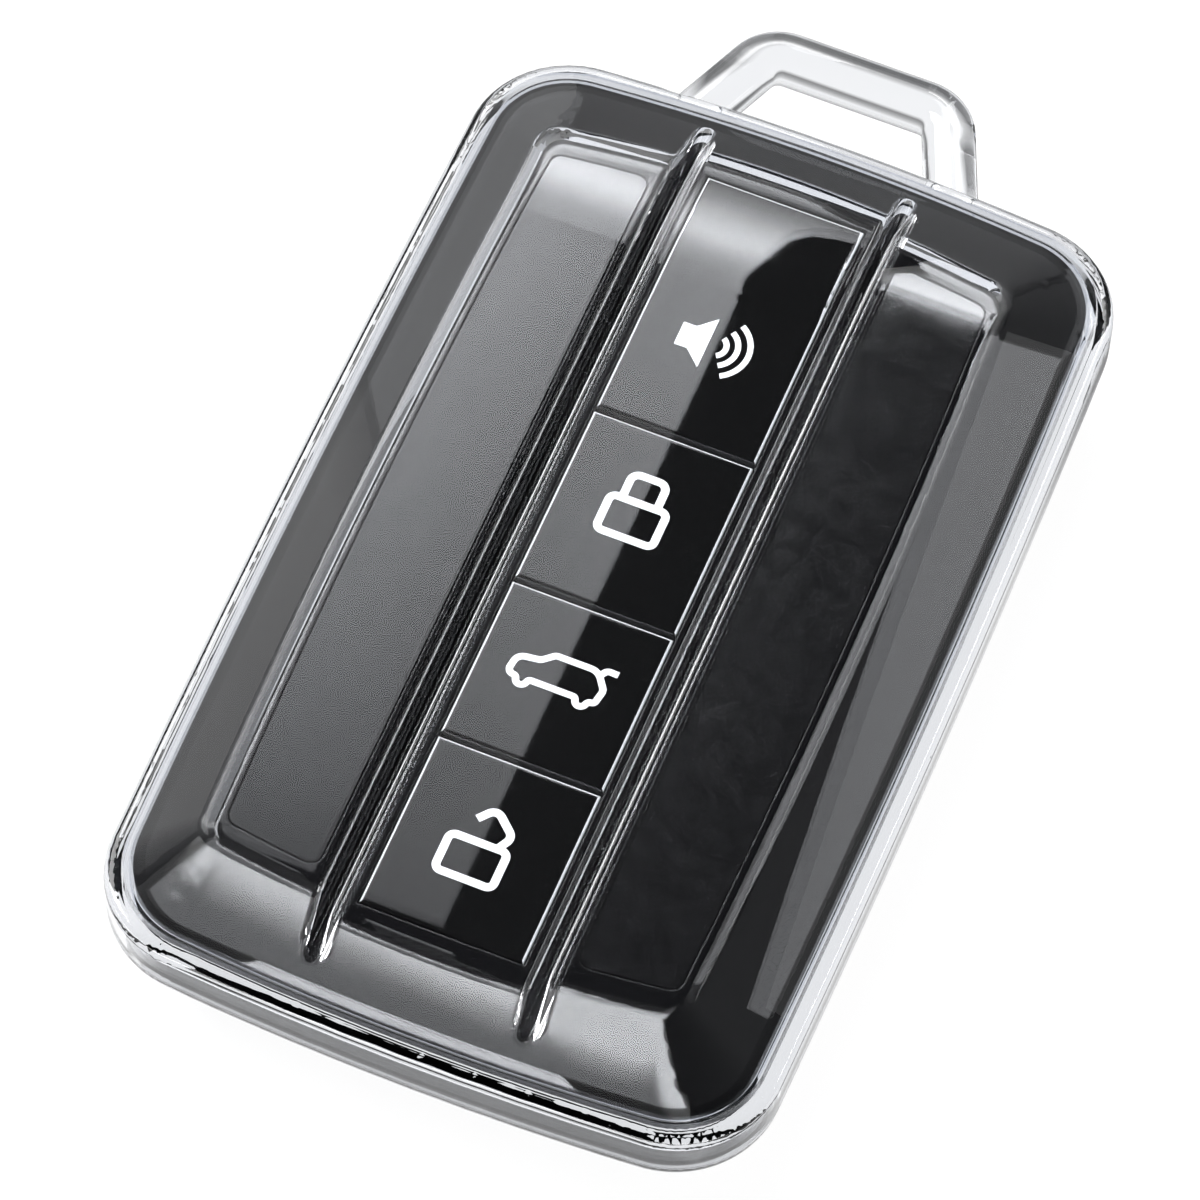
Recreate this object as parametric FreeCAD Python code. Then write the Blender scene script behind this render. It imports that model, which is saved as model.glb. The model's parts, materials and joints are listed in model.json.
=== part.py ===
import FreeCAD, Part
import math
import os

# A clear two-part cover closed on a four-button remote key, lying on its back.
# Millimetres. +Z points out of the button face, +Y towards the loop.
# The origin is the centre of the cover's back face.

V = FreeCAD.Vector
Z_AXIS = V(0, 0, 1)

# Driving sizes of the cover
cover_width = 51.6
cover_length = 82.6
cover_thickness = 19.0
cover_corner_radius = 8.0
side_bow = 0.6
end_bow = 1.3
rim_width = 2.4
face_wall = 1.3
skirt_wall = 0.85
skirt_depth = 3.3
cover_edge_radius = 1.5
rim_round = 0.9
rim_drop = 0.6
chine_radius = 3.0
back_edge_radius = 2.5

# Clearances
key_fit = 0.2
skirt_fit = 0.15
groove_fit = 0.15
button_fit = 0.12
panel_fit = 0.1
inner_fit = 0.1
overrun = 1.0

# The key's front: a face with four sloped facets and a rolled top end
roof_fall = 6.0
side_run = 5.3
bottom_run = 4.5
top_run = 8.6
face_corner_radius = 1.3
key_edge_radius = 0.8
roll_reach = 15.8
roll_radius = 50.0
roll_turn = 16.0
middle_drop = 1.0

# The key's back: a shallow sloped tray
back_rise = 5.0
back_run = 4.2
back_corner_radius = 3.0

# Lengthwise grooves beside the button column
groove_offset = 8.0
groove_width = 2.5
groove_depth = 4.1
button_wall = 0.45
channel_skin = 0.55
channel_floor_wall = 1.0
lip_radius = 0.35

# Loop
loop_bar = 4.1
loop_gap = 5.0
loop_base_half = 10.5
loop_top_half = 7.2
loop_shift = -0.2
loop_bend_radius = 2.6
loop_root = 0.9

# Buttons, from the loop end down
button_gap = 0.4
button_top_margin = 1.6
button_bottom_margin = 0.9
panic_length = 22.2
lock_length = 15.35
tailgate_length = 13.6
button_travel = 0.5
press_gap = 0.15
button_edge_radius = 0.25
button_flange = 0.7
button_flange_depth = 0.9
flange_gap = 0.25

# Trim panels
panel_thickness = 0.8
panel_margin = 0.5
panel_bottom_margin = 1.4
panel_top_margin = 0.6
panel_corner_radius = 0.9

# Key cases
case_wall = 1.2
parting_share = 0.49
seal_width = 0.5
seal_depth = 0.6
ceiling_gap = 1.2

# Circuit board and what sits on it
board_thickness = 1.0
board_margin = 2.7
peg_radius = 1.7
peg_pin_radius = 0.8
peg_inset = 2.6
peg_end_inset = 7.4
peg_inner_x = -3.0
switch_size = 4.6
switch_height = 1.0
plunger_radius = 1.3
plunger_height = 0.35
mat_half_width = 6.9
mat_wall = 0.9
mat_sheet = 0.4
mat_end_margin = 1.2
control_chip_size = 7.0
control_chip_y = 8.0
radio_chip_size = 5.0
radio_chip_y = -3.0
chip_height = 0.9
crystal_width = 2.5
crystal_length = 3.2
crystal_height = 0.8
crystal_y = -11.0
crystal_radius = 0.6
coil_y = 17.0
coil_radius = 4.6
coil_core_radius = 2.2
coil_flange = 0.7
coil_height = 2.9

# Coin cell and its contacts
cell_radius = 10.0
cell_height = 3.2
cell_cap_radius = 8.6
cell_cap_height = 0.5
cell_lift = 0.6
cell_y = -13.0
cell_fit = 0.2
cell_rib = 0.8
cell_rib_height = 2.6
contact_thickness = 0.25
contact_width = 4.0
contact_reach = 13.0

# Emergency key and its release
blade_width = 7.0
blade_thickness = 2.0
blade_length = 44.0
blade_tip = 5.0
blade_groove = 1.3
blade_groove_depth = 0.5
grip_width = 9.6
grip_length = 19.0
grip_thickness = 3.6
grip_lift = 1.0
grip_fit = 0.15
slider_length = 7.2
slider_width = 5.6
slider_recess = 0.15
slider_flange = 1.3
slider_flange_thickness = 0.55
slider_travel = 2.0
slider_y = 28.0
slider_rib = 0.4
slider_rib_count = 4
tab_width = 1.8
tab_length = 3.6
tab_height = 1.2
spring_strip = 0.3
spring_width = 1.6
spring_length = 6.0
spring_depth = 2.4
spring_post = 1.2

# Levels and half sizes that the pieces share
key_half_width = cover_width / 2 - rim_width
key_half_length = cover_length / 2 - rim_width
key_corner_radius = cover_corner_radius - rim_width
key_back = face_wall + key_fit
key_face = cover_thickness - face_wall - key_fit
band_top = key_face - roof_fall
band_bottom = key_back + back_rise
parting = key_back + (key_face - key_back) * parting_share
roll_start = key_half_length - roll_reach
cover_gap = key_fit + face_wall
skirt_outer = key_half_width + key_fit + skirt_wall
side_slope = math.atan2(roof_fall, side_run)
bottom_slope = math.atan2(roof_fall, bottom_run)
top_slope = math.atan2(roof_fall, top_run)
back_slope = math.atan2(back_rise, back_run)
facet_reach = key_half_width + cover_gap / math.sin(side_slope) - skirt_outer
rim_top = band_top + facet_reach * math.tan(side_slope) - rim_drop
skirt_bottom = band_top - skirt_depth
groove_floor = key_face - groove_depth
groove_half = groove_width / 2
case_ceiling = groove_floor - ceiling_gap
slot_half = groove_offset - groove_half - button_wall
button_half = slot_half - button_fit
far = cover_length
case_floor = key_back + case_wall
button_seat = case_ceiling - flange_gap
button_underside = button_seat - button_flange_depth
mat_top = button_underside - button_travel - press_gap
mat_under = mat_top - mat_sheet
board_top = mat_under - inner_fit - plunger_height - switch_height
board_bottom = board_top - board_thickness
board_half_width = key_half_width - board_margin
board_half_length = key_half_length - board_margin
side_space_centre = (mat_half_width + board_half_width) / 2
slant_wall = case_wall / math.sin(back_slope)


def case_inside(level):
    """Half width between the rear case's sloped walls at one level."""
    return key_half_width - slant_wall - (band_bottom - level) / math.tan(back_slope)


cell_x = -(case_inside(case_floor + cell_lift) - cell_radius - cell_fit - cell_rib)
blade_x = case_inside(case_floor + grip_lift) - grip_width / 2 - grip_fit - inner_fit


def box(x0, x1, y0, y1, z0, z1):
    return Part.makeBox(x1 - x0, y1 - y0, z1 - z0, V(x0, y0, z0))


def upright_edges(solid):
    found = []
    for edge in solid.Edges:
        ends = edge.Vertexes
        if len(ends) == 2 and ends[0].Point.sub(ends[1].Point).cross(Z_AXIS).Length < inner_fit:
            found.append(edge)
    return found


def rounded_box(x0, x1, y0, y1, z0, z1, radius):
    solid = box(x0, x1, y0, y1, z0, z1)
    return solid.makeFillet(radius, upright_edges(solid))


def disc(radius, x, y, z0, z1):
    return Part.makeCylinder(radius, z1 - z0, V(x, y, z0))


def bowed_prism(half_width, low_end, high_end, corner, z0, z1):
    """Upright prism with bowed sides and ends and rounded corners."""
    side = half_width - side_bow
    low = low_end + end_bow
    high = high_end - end_bow
    middle = (low_end + high_end) / 2
    corners = [V(side, low, z0), V(side, high, z0), V(-side, high, z0), V(-side, low, z0)]
    crowns = [V(half_width, middle, z0), V(0, high_end, z0), V(-half_width, middle, z0), V(0, low_end, z0)]
    arcs = []
    for index in range(4):
        arcs.append(Part.Arc(corners[index], crowns[index], corners[(index + 1) % 4]).toShape())
    solid = Part.Face(Part.Wire(arcs)).extrude(V(0, 0, z1 - z0))
    return solid.makeFillet(corner, upright_edges(solid))


def centred_prism(inset, z0, z1):
    """Prism of the key's outline, set in by inset, or grown where inset is negative."""
    half_width = key_half_width - inset
    half_length = key_half_length - inset
    return bowed_prism(half_width, -half_length, half_length, key_corner_radius - inset, z0, z1)


def outline(half_width, low_end, high_end, corner, level):
    """The same bowed outline as a wire at one level."""
    solid = bowed_prism(half_width, low_end, high_end, corner, level, level + overrun)
    lowest = min(solid.Faces, key=lambda face: face.CenterOfMass.z)
    return lowest.OuterWire


def land_block(gap, drop):
    """Everything under the face's length profile: flat, then rolled off towards the loop."""
    level = key_face + gap - drop
    radius = roll_radius + gap
    centre = V(0, roll_start, level - radius)
    turn = math.radians(roll_turn)
    half = centre + V(0, radius * math.sin(turn / 2), radius * math.cos(turn / 2))
    end = centre + V(0, radius * math.sin(turn), radius * math.cos(turn))
    beyond = cover_length / 2 + overrun
    tail = V(0, beyond, end.z - (beyond - end.y) * math.tan(turn))
    start = V(0, roll_start, level)
    left = V(0, -far, level)
    floor_left = V(0, -far, 0)
    floor_right = V(0, beyond, 0)
    edges = [
        Part.LineSegment(left, start).toShape(),
        Part.Arc(start, half, end).toShape(),
        Part.LineSegment(end, tail).toShape(),
        Part.LineSegment(tail, floor_right).toShape(),
        Part.LineSegment(floor_right, floor_left).toShape(),
        Part.LineSegment(floor_left, left).toShape(),
    ]
    solid = Part.Face(Part.Wire(edges)).extrude(V(cover_width, 0, 0))
    solid.translate(V(-cover_width / 2, 0, 0))
    return solid


def facet_loft(gap):
    """The four facets and their hips, carried up past the face, grown by gap."""
    side = key_half_width + gap / math.sin(side_slope)
    low = key_half_length + gap / math.sin(bottom_slope)
    high = key_half_length + gap / math.sin(top_slope)
    height = roof_fall + gap + overrun
    hip_share = height / roof_fall
    corner = key_corner_radius + gap
    upper_corner = corner - (key_corner_radius - face_corner_radius) * hip_share
    base = outline(side, -low, high, corner, band_top)
    upper = outline(
        side - side_run * hip_share,
        -low + bottom_run * hip_share,
        high - top_run * hip_share,
        upper_corner,
        band_top + height,
    )
    return Part.makeLoft([base, upper], True, True)


def roof(gap, drop, edge_radius):
    """Facets under the rolled face, with the face's edge rounded."""
    solid = facet_loft(gap).common(land_block(gap, drop)).Solids[0]
    if edge_radius == 0:
        return solid
    level = key_face + gap - drop
    counts = {}
    for face in solid.Faces:
        flat = face.Surface.TypeId == "Part::GeomPlane" and abs(face.CenterOfMass.z - level) < inner_fit
        rolled = face.Surface.TypeId == "Part::GeomCylinder" and face.Surface.Radius > roll_radius / 2
        if flat or rolled:
            for edge in face.Edges:
                counts.setdefault(edge.hashCode(), []).append(edge)
    rim = [edges[0] for edges in counts.values() if len(edges) == 1]
    return solid.makeFillet(edge_radius, rim)


def groove_cutter(side, half, floor):
    """Round-bottomed slot that runs right through both ends."""
    centre = side * groove_offset
    top = cover_thickness + overrun
    spring = floor + half
    left_top = V(centre - half, -far, top)
    left = V(centre - half, -far, spring)
    low = V(centre, -far, floor)
    right = V(centre + half, -far, spring)
    right_top = V(centre + half, -far, top)
    edges = [
        Part.LineSegment(left_top, left).toShape(),
        Part.Arc(left, low, right).toShape(),
        Part.LineSegment(right, right_top).toShape(),
        Part.LineSegment(right_top, left_top).toShape(),
    ]
    return Part.Face(Part.Wire(edges)).extrude(V(0, far + far, 0))


def front_form(gap, edge_radius, half, floor):
    """Two side lands and the lower middle land, parted by the two grooves."""
    middle = box(-groove_offset, groove_offset, -far, far, 0, far)
    solid = roof(gap, 0, edge_radius).cut(middle)
    solid = solid.fuse(roof(gap, middle_drop, edge_radius).common(middle))
    for side in (-1, 1):
        solid = solid.cut(groove_cutter(side, half, floor))
    return solid.removeSplitter()


def back_form(gap, extra):
    """The key's sloped back, grown by gap and carried up by extra."""
    half_width = key_half_width + gap / math.sin(back_slope)
    half_length = key_half_length + gap / math.sin(back_slope)
    fall_share = (back_rise + gap) / back_rise
    rise_share = extra / back_rise
    corner_step = key_corner_radius - back_corner_radius
    low_width = half_width - back_run * fall_share
    low_length = half_length - back_run * fall_share
    high_width = half_width + back_run * rise_share
    high_length = half_length + back_run * rise_share
    base = outline(low_width, -low_length, low_length, back_corner_radius + gap, key_back - gap)
    high_corner = key_corner_radius + gap + corner_step * rise_share
    upper = outline(high_width, -high_length, high_length, high_corner, band_bottom + extra)
    return Part.makeLoft([base, upper], True, True)


def level_edges(solid, level):
    """Edges that lie wholly in one level plane."""
    found = []
    for edge in solid.Edges:
        bounds = edge.BoundBox
        if abs(bounds.ZMin - level) < inner_fit and abs(bounds.ZMax - level) < inner_fit:
            found.append(edge)
    return found


def chine_edges(solid):
    """Edges between the tray's sloped back and its upright band."""
    level = band_bottom + (rim_width - cover_gap / math.sin(back_slope)) * math.tan(back_slope)
    found = []
    for edge in solid.Edges:
        bounds = edge.BoundBox
        if abs(bounds.Center.z - level) < rim_drop and bounds.ZLength < rim_width:
            found.append(edge)
    return found


def lip_edges(solid, half):
    """Edges where a channel's walls meet the lands."""
    found = []
    for edge in solid.Edges:
        bounds = edge.BoundBox
        offset = abs(abs(bounds.Center.x) - groove_offset)
        straight = bounds.XLength < inner_fit and abs(offset - half) < inner_fit
        if straight and bounds.ZMax > groove_floor + groove_depth / 2 and bounds.YLength > groove_width:
            found.append(edge)
    return found


def front_cover():
    """Clear shell: face, facets, channels and the skirt that nests in the back cover."""
    half = groove_half - groove_fit - channel_skin
    floor = groove_floor + key_fit + channel_floor_wall
    inset = key_half_width - skirt_outer
    outer = front_form(cover_gap, cover_edge_radius, half, floor)
    outer = outer.makeFillet(lip_radius, lip_edges(outer, half))
    outer = outer.common(centred_prism(inset, band_top, cover_thickness + overrun))
    outer = outer.fuse(centred_prism(inset, skirt_bottom, band_top)).removeSplitter()
    hollow = front_form(key_fit, 0, groove_half - groove_fit, groove_floor + key_fit)
    hollow = hollow.fuse(centred_prism(-key_fit, skirt_bottom - overrun, band_top))
    return outer.cut(hollow)


def loop_bar_solid():
    """Round bar bent into a trapezoid, standing on the cover's top end."""
    level = (band_bottom + rim_top) / 2
    foot = cover_length / 2 - loop_root
    top = cover_length / 2 + loop_gap + loop_bar / 2
    points = [
        V(loop_shift - loop_base_half, foot, level),
        V(loop_shift - loop_top_half, top, level),
        V(loop_shift + loop_top_half, top, level),
        V(loop_shift + loop_base_half, foot, level),
    ]
    edges = []
    start = points[0]
    for index in (1, 2):
        corner = points[index]
        into = (points[index - 1] - corner).normalize()
        away = (points[index + 1] - corner).normalize()
        half_angle = into.getAngle(away) / 2
        setback = loop_bend_radius / math.tan(half_angle)
        bisector = (into + away).normalize()
        middle = corner + bisector * (loop_bend_radius / math.sin(half_angle) - loop_bend_radius)
        first = corner + into * setback
        last = corner + away * setback
        edges.append(Part.LineSegment(start, first).toShape())
        edges.append(Part.Arc(first, middle, last).toShape())
        start = last
    edges.append(Part.LineSegment(start, points[3]).toShape())
    path = Part.Wire(edges)
    heading = (points[1] - points[0]).normalize()
    section = Part.Wire([Part.Circle(points[0], heading, loop_bar / 2).toShape()])
    return path.makePipeShell([section], True, True)


def back_cover():
    """Clear tray with a rounded rim, a ledge for the front cover's skirt, and the loop."""
    rebate = key_half_width - skirt_outer - skirt_fit
    ledge = skirt_bottom - skirt_fit
    outer = back_form(cover_gap, rim_top - band_bottom)
    outer = outer.common(centred_prism(-rim_width, 0, rim_top))
    outer = outer.makeFillet(back_edge_radius, level_edges(outer, 0))
    outer = outer.makeFillet(rim_round, level_edges(outer, rim_top))
    outer = outer.makeFillet(chine_radius, chine_edges(outer))
    hollow = back_form(key_fit, 0)
    hollow = hollow.fuse(centred_prism(-key_fit, band_bottom, ledge))
    hollow = hollow.fuse(centred_prism(rebate, ledge, rim_top + overrun))
    loop = loop_bar_solid().cut(centred_prism(rebate, 0, cover_thickness))
    return outer.cut(hollow).fuse(loop).removeSplitter()


def panel_plan(side, grow, z0, z1):
    """Upright block over one trim panel's outline, which keeps parallel to the face's edge."""
    inner = groove_offset + groove_half + panel_margin - grow
    half_width = key_half_width - side_run - panel_margin + grow
    low = -(key_half_length - bottom_run - panel_bottom_margin) - grow
    high = key_half_length - top_run - panel_top_margin + grow
    radius = panel_corner_radius + grow
    face = bowed_prism(half_width, low, high, radius, z0, z1)
    left = min(side * inner, side * far)
    right = max(side * inner, side * far)
    block = face.common(box(left, right, -far, far, z0, z1))
    corners = []
    for edge in upright_edges(block):
        if abs(abs(edge.CenterOfMass.x) - inner) < inner_fit:
            corners.append(edge)
    return block.makeFillet(radius, corners)


def trim_panel(side):
    """Grained inlay that follows the rolled face."""
    slab = land_block(0, 0).cut(land_block(0, panel_thickness))
    return slab.common(panel_plan(side, 0, groove_floor, cover_thickness))


def button_spans():
    """Low and high ends of the four caps, from the loop end down."""
    high = key_half_length - top_run + button_top_margin
    low_end = -(key_half_length - bottom_run) + button_bottom_margin
    spans = []
    for length in (panic_length, lock_length, tailgate_length):
        spans.append((high - length + button_gap, high))
        high = high - length
    spans.append((low_end, high))
    return spans


def button_cap(span):
    """Cap with a rounded top edge and a flange that keeps it under the face."""
    low, high = span
    slab = land_block(0, middle_drop)
    cap = slab.common(box(-button_half, button_half, low, high, button_seat, cover_thickness))
    level = key_face - middle_drop
    crown = []
    for edge in cap.Edges:
        if edge.BoundBox.ZMin > level - groove_depth / 2:
            crown.append(edge)
    outline_edges = []
    for edge in crown:
        bounds = edge.BoundBox
        along = bounds.YLength > button_gap
        at_end = min(abs(bounds.Center.y - low), abs(bounds.Center.y - high)) < inner_fit
        if along or at_end:
            outline_edges.append(edge)
    cap = cap.makeFillet(button_edge_radius, outline_edges)
    flange = box(
        -button_half - button_flange,
        button_half + button_flange,
        low,
        high,
        button_underside,
        button_seat,
    )
    return cap.fuse(flange).removeSplitter()


def button_slot():
    """Opening in the face that the four caps share."""
    spans = button_spans()
    low = spans[-1][0] - button_fit
    high = spans[0][1] + button_fit
    return box(-slot_half, slot_half, low, high, 0, far)


def land_pocket(side):
    """Cored-out space under one side land."""
    inner = groove_offset + groove_half + case_wall
    outer = key_half_width - side_run - case_wall
    low = -(key_half_length - bottom_run - case_wall)
    high = roll_start
    left = min(side * inner, side * outer)
    right = max(side * inner, side * outer)
    ceiling = key_face - panel_thickness - case_wall
    return rounded_box(left, right, low, high, parting - overrun, ceiling, panel_corner_radius)


def front_case():
    """Black face of the key, hollow below, with the button slot and the inlay seats."""
    solid = front_form(0, key_edge_radius, groove_half, groove_floor)
    solid = solid.fuse(centred_prism(0, parting, band_top)).removeSplitter()
    solid = solid.cut(centred_prism(case_wall + case_wall, parting - overrun, case_ceiling))
    solid = solid.cut(button_slot())
    for side in (-1, 1):
        seat = panel_plan(side, panel_fit, groove_floor, cover_thickness)
        solid = solid.cut(seat.cut(land_block(0, panel_thickness)))
        solid = solid.cut(land_pocket(side))
    return solid


def peg_places():
    x = board_half_width - peg_inset
    y = board_half_length - peg_end_inset
    return [(-x, y), (-x, -y), (x, -y), (peg_inner_x, y)]


def grip_block(grow, high):
    """Block that holds the emergency key's grip, or its slot in the case."""
    half = grip_width / 2 + grow
    low = key_half_length - grip_length - grow
    bottom = case_floor + grip_lift - grow
    return rounded_box(
        blade_x - half,
        blade_x + half,
        low,
        high,
        bottom,
        bottom + grip_thickness + grow + grow,
        cell_rib,
    )


def slider_opening():
    """Window in the key's back for the release slider, long enough for its travel."""
    half = slider_length / 2 + inner_fit
    return rounded_box(
        blade_x - half - slider_travel,
        blade_x + half,
        slider_y - slider_width / 2 - inner_fit,
        slider_y + slider_width / 2 + inner_fit,
        0,
        case_floor + inner_fit,
        panel_corner_radius,
    )


def spring_seat():
    """Outer faces, along X, of the leaf spring's two seats at rest."""
    slider_end = blade_x - grip_width / 2 - inner_fit
    return slider_end - spring_length, slider_end


def rear_case():
    """Black back of the key with its pegs, cell ring, key slot and slider window."""
    solid = back_form(0, 0).fuse(centred_prism(0, band_bottom, parting)).removeSplitter()
    hollow = back_form(-case_wall, 0)
    hollow = hollow.fuse(centred_prism(slant_wall, band_bottom, parting + overrun))
    solid = solid.cut(hollow)
    floor = case_floor
    ring_outer = disc(cell_radius + cell_fit + cell_rib, cell_x, cell_y, floor, floor + cell_rib_height)
    ring = ring_outer.cut(disc(cell_radius + cell_fit, cell_x, cell_y, 0, far))
    ring = ring.cut(contact_channel()).cut(blade_lane())
    solid = solid.fuse(ring)
    for x, y in peg_places():
        peg = disc(peg_radius, x, y, floor, board_bottom)
        pin = disc(peg_pin_radius, x, y, floor, board_top + button_gap)
        solid = solid.fuse(peg.fuse(pin))
    near = spring_seat()[0]
    post = box(
        near - spring_post,
        near,
        slider_y - spring_depth,
        slider_y + spring_depth,
        floor,
        floor + spring_width + inner_fit,
    )
    solid = solid.fuse(post).removeSplitter()
    solid = solid.cut(grip_block(grip_fit, far))
    solid = solid.cut(slider_opening())
    return solid.cut(seal_ring(parting - seal_depth, parting))


def seal_ring(z0, z1):
    inset = (slant_wall - seal_width) / 2
    return centred_prism(inset, z0, z1).cut(centred_prism(inset + seal_width, z0 - overrun, z1 + overrun))


def blade_lane():
    """Space that the emergency key's blade needs on its way out."""
    half = blade_width / 2 + grip_fit
    return box(blade_x - half, blade_x + half, -far, far, 0, far)


def contact_channel():
    """Gap in the cell ring for the bottom contact strip."""
    half = contact_width / 2 + cell_fit
    return box(cell_x - half, cell_x + half, cell_y, cell_y + far, 0, far)


def circuit_board():
    solid = centred_prism(board_margin, board_bottom, board_top)
    for x, y in peg_places():
        solid = solid.cut(disc(peg_pin_radius + inner_fit, x, y, 0, far))
    return solid


def button_centres():
    return [(low + high) / 2 for low, high in button_spans()]


def tact_switches():
    """One dome switch with its plunger under each button."""
    solids = []
    base = board_top
    half = switch_size / 2
    for y in button_centres():
        body = rounded_box(-half, half, y - half, y + half, base, base + switch_height, plunger_height)
        plunger = disc(plunger_radius, 0, y, base, base + switch_height + plunger_height)
        solids.append(body.fuse(plunger).removeSplitter())
    return Part.makeCompound(solids)


def keypad_membrane():
    """Rubber mat: a thin sheet over the switches on a wall that stands on the board."""
    spans = button_spans()
    low = spans[-1][0] + mat_end_margin
    high = spans[0][1] - mat_end_margin
    half = mat_half_width
    outer = rounded_box(-half, half, low, high, board_top, mat_top, panel_corner_radius)
    inner = box(-half + mat_wall, half - mat_wall, low + mat_wall, high - mat_wall, 0, mat_under)
    return outer.cut(inner)


def chip(size_x, size_y, height, y, radius):
    base = board_top
    return rounded_box(
        side_space_centre - size_x / 2,
        side_space_centre + size_x / 2,
        y - size_y / 2,
        y + size_y / 2,
        base,
        base + height,
        radius,
    )


def antenna_core():
    """Ferrite spool of the low-frequency aerial."""
    base = board_top
    spool = disc(coil_radius, -side_space_centre, coil_y, base, base + coil_flange)
    spool = spool.fuse(disc(coil_core_radius, -side_space_centre, coil_y, base, base + coil_height))
    top = disc(coil_radius, -side_space_centre, coil_y, base + coil_height - coil_flange, base + coil_height)
    return spool.fuse(top).removeSplitter()


def antenna_winding():
    """Copper winding between the spool's flanges."""
    base = board_top + coil_flange
    top = board_top + coil_height - coil_flange
    ring = disc(coil_radius - inner_fit, -side_space_centre, coil_y, base, top)
    return ring.cut(disc(coil_core_radius, -side_space_centre, coil_y, base - overrun, top + overrun))


def coin_cell():
    """Stepped can of a common 20 mm cell, turned from one profile."""
    base = case_floor + cell_lift
    shoulder = base + cell_height - cell_cap_height
    points = [
        V(0, 0, base),
        V(cell_radius, 0, base),
        V(cell_radius, 0, shoulder),
        V(cell_cap_radius, 0, shoulder + cell_cap_height / 2),
        V(cell_cap_radius, 0, base + cell_height),
        V(0, 0, base + cell_height),
        V(0, 0, base),
    ]
    solid = Part.Face(Part.makePolygon(points)).revolve(V(0, 0, 0), Z_AXIS, 360)
    solid.translate(V(cell_x, cell_y, 0))
    return solid


def strip(points, width, along):
    """Thin bent strip: a centre line in the YZ plane thickened upwards and widened along X."""
    lower = [V(along - width / 2, y, z) for y, z in points]
    upper = [V(along - width / 2, y, z + contact_thickness) for y, z in reversed(points)]
    face = Part.Face(Part.makePolygon(lower + upper + [lower[0]]))
    return face.extrude(V(width, 0, 0))


def battery_bottom_contact():
    """Leaf on the case floor that bows up to the cell and runs out beside it to the board."""
    floor = case_floor
    crest = floor + cell_lift - contact_thickness
    edge = cell_y + cell_radius + cell_fit + cell_rib / 2
    top = board_bottom - contact_thickness
    points = [
        (cell_y - contact_width, floor),
        (cell_y, crest),
        (cell_y + contact_width, floor),
        (edge, floor),
        (edge + contact_width / 2, top),
        (edge + contact_width, top),
    ]
    return strip(points, contact_width, cell_x)


def battery_top_contact():
    """Leaf on the board's underside that presses on the cell's top."""
    top = board_bottom - contact_thickness
    crest = case_floor + cell_lift + cell_height
    points = [
        (cell_y - contact_reach, top),
        (cell_y - contact_reach / 2, top),
        (cell_y - contact_width / 2, crest),
        (cell_y + contact_width / 2, crest),
    ]
    return strip(points, contact_width, cell_x)


def blade_top():
    return case_floor + grip_lift + grip_thickness / 2 + blade_thickness / 2


def emergency_key_blade():
    """Flat steel blade with a tapered tip and one milled groove on each side."""
    root = key_half_length - grip_length
    tip = root - blade_length
    half = blade_width / 2
    low = blade_top() - blade_thickness
    points = [
        V(blade_x - half, root, low),
        V(blade_x - half, tip + blade_tip, low),
        V(blade_x - half / 2, tip, low),
        V(blade_x + half / 2, tip, low),
        V(blade_x + half, tip + blade_tip, low),
        V(blade_x + half, root, low),
        V(blade_x - half, root, low),
    ]
    solid = Part.Face(Part.makePolygon(points)).extrude(V(0, 0, blade_thickness))
    left = blade_x - half / 2
    for floor in (low - blade_groove_depth, blade_top() - blade_groove_depth):
        top = floor + blade_groove_depth + blade_groove_depth
        solid = solid.cut(box(left, left + blade_groove, tip, root - blade_tip, floor, top))
    return solid


def tab_space():
    """Where the slider's tab stands at rest: X, Y and the level of its top."""
    x = blade_x + slider_length / 2 - tab_width
    y = slider_y
    top = case_floor + inner_fit + slider_flange_thickness + tab_height
    return x, y, top


def emergency_key_grip():
    """Moulded grip, flush with the key's end, with a notch that the slider's tab locks."""
    solid = grip_block(0, far).common(back_form(0, rim_top).common(centred_prism(0, 0, cover_thickness)))
    x, y, top = tab_space()
    fit = grip_fit + inner_fit
    near = x - tab_width / 2 - fit
    low = y - tab_length / 2 - fit
    high = y + tab_length / 2 + fit
    lock = box(near, x + tab_width / 2 + fit, low, high, 0, top + fit)
    side_way = box(near - slider_travel, x, low, high, 0, top + fit)
    run_out = box(near - slider_travel, near + fit + fit, -far, y, 0, top + fit)
    return solid.cut(lock).cut(side_way).cut(run_out)


def release_slider():
    """Ribbed thumb pad in the key's back, a flange inside, and the tab that locks the grip."""
    half_x = slider_length / 2
    half_y = slider_width / 2
    floor = case_floor + inner_fit
    pad_low = key_back + slider_recess
    pad = rounded_box(blade_x - half_x, blade_x + half_x, slider_y - half_y, slider_y + half_y,
                      pad_low, floor, panel_corner_radius)
    pitch = slider_length / (slider_rib_count + 1)
    for index in range(slider_rib_count):
        x = blade_x - half_x + pitch * (index + 1)
        groove = box(x - slider_rib / 2, x + slider_rib / 2, -far, far, 0, pad_low + slider_rib)
        pad = pad.cut(groove)
    flange = box(
        spring_seat()[1],
        blade_x + half_x,
        slider_y - half_y - slider_flange,
        slider_y + half_y + slider_flange,
        floor,
        floor + slider_flange_thickness,
    )
    x, y, top = tab_space()
    tab = box(x - tab_width / 2, x + tab_width / 2, y - tab_length / 2, y + tab_length / 2, floor, top)
    return pad.fuse(flange).fuse(tab).removeSplitter()


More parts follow.
